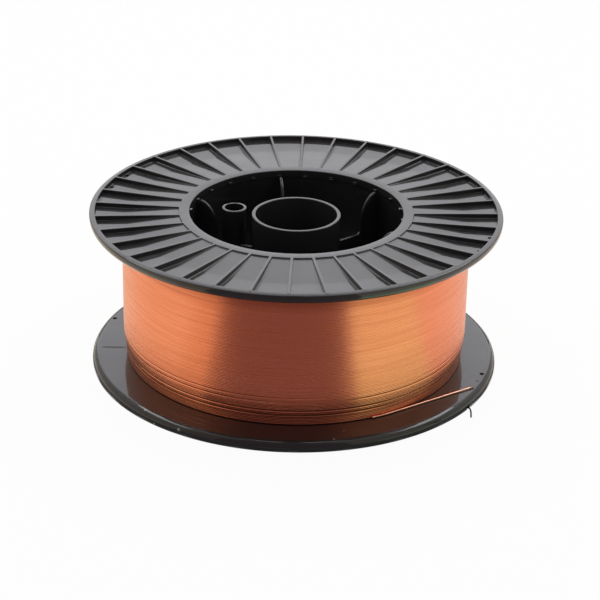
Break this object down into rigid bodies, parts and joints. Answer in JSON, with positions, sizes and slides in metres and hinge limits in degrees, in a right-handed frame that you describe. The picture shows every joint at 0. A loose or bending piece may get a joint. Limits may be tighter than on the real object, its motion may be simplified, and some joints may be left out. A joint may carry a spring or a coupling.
{
  "type": "welding wire spool",
  "caption": "Black plastic spool with ribbed flanges and a webbed hub, wound full with copper-coated welding wire and lying flat.",
  "frame": {"origin": "centre of the lower flange's open face, on the floor under the spool's axis", "axes": "+Z along the spool's axis, upwards as it lies; +X through a wire-hole side of the flanges, -Y towards the viewer of the picture"},
  "size_m": [0.2625, 0.2625, 0.1045],
  "materials": {
    "black_plastic": "injection-moulded black plastic with a smooth, slightly glossy skin",
    "copper_coated_wire": "drawn steel wire with a bright copper coating, wound turn beside turn"
  },
  "bodies": {
    "root": {"spool_body": "black_plastic", "top_flange": "black_plastic", "wire_winding": "copper_coated_wire", "wire_tail": "copper_coated_wire"}
  },
  "joints": []
}
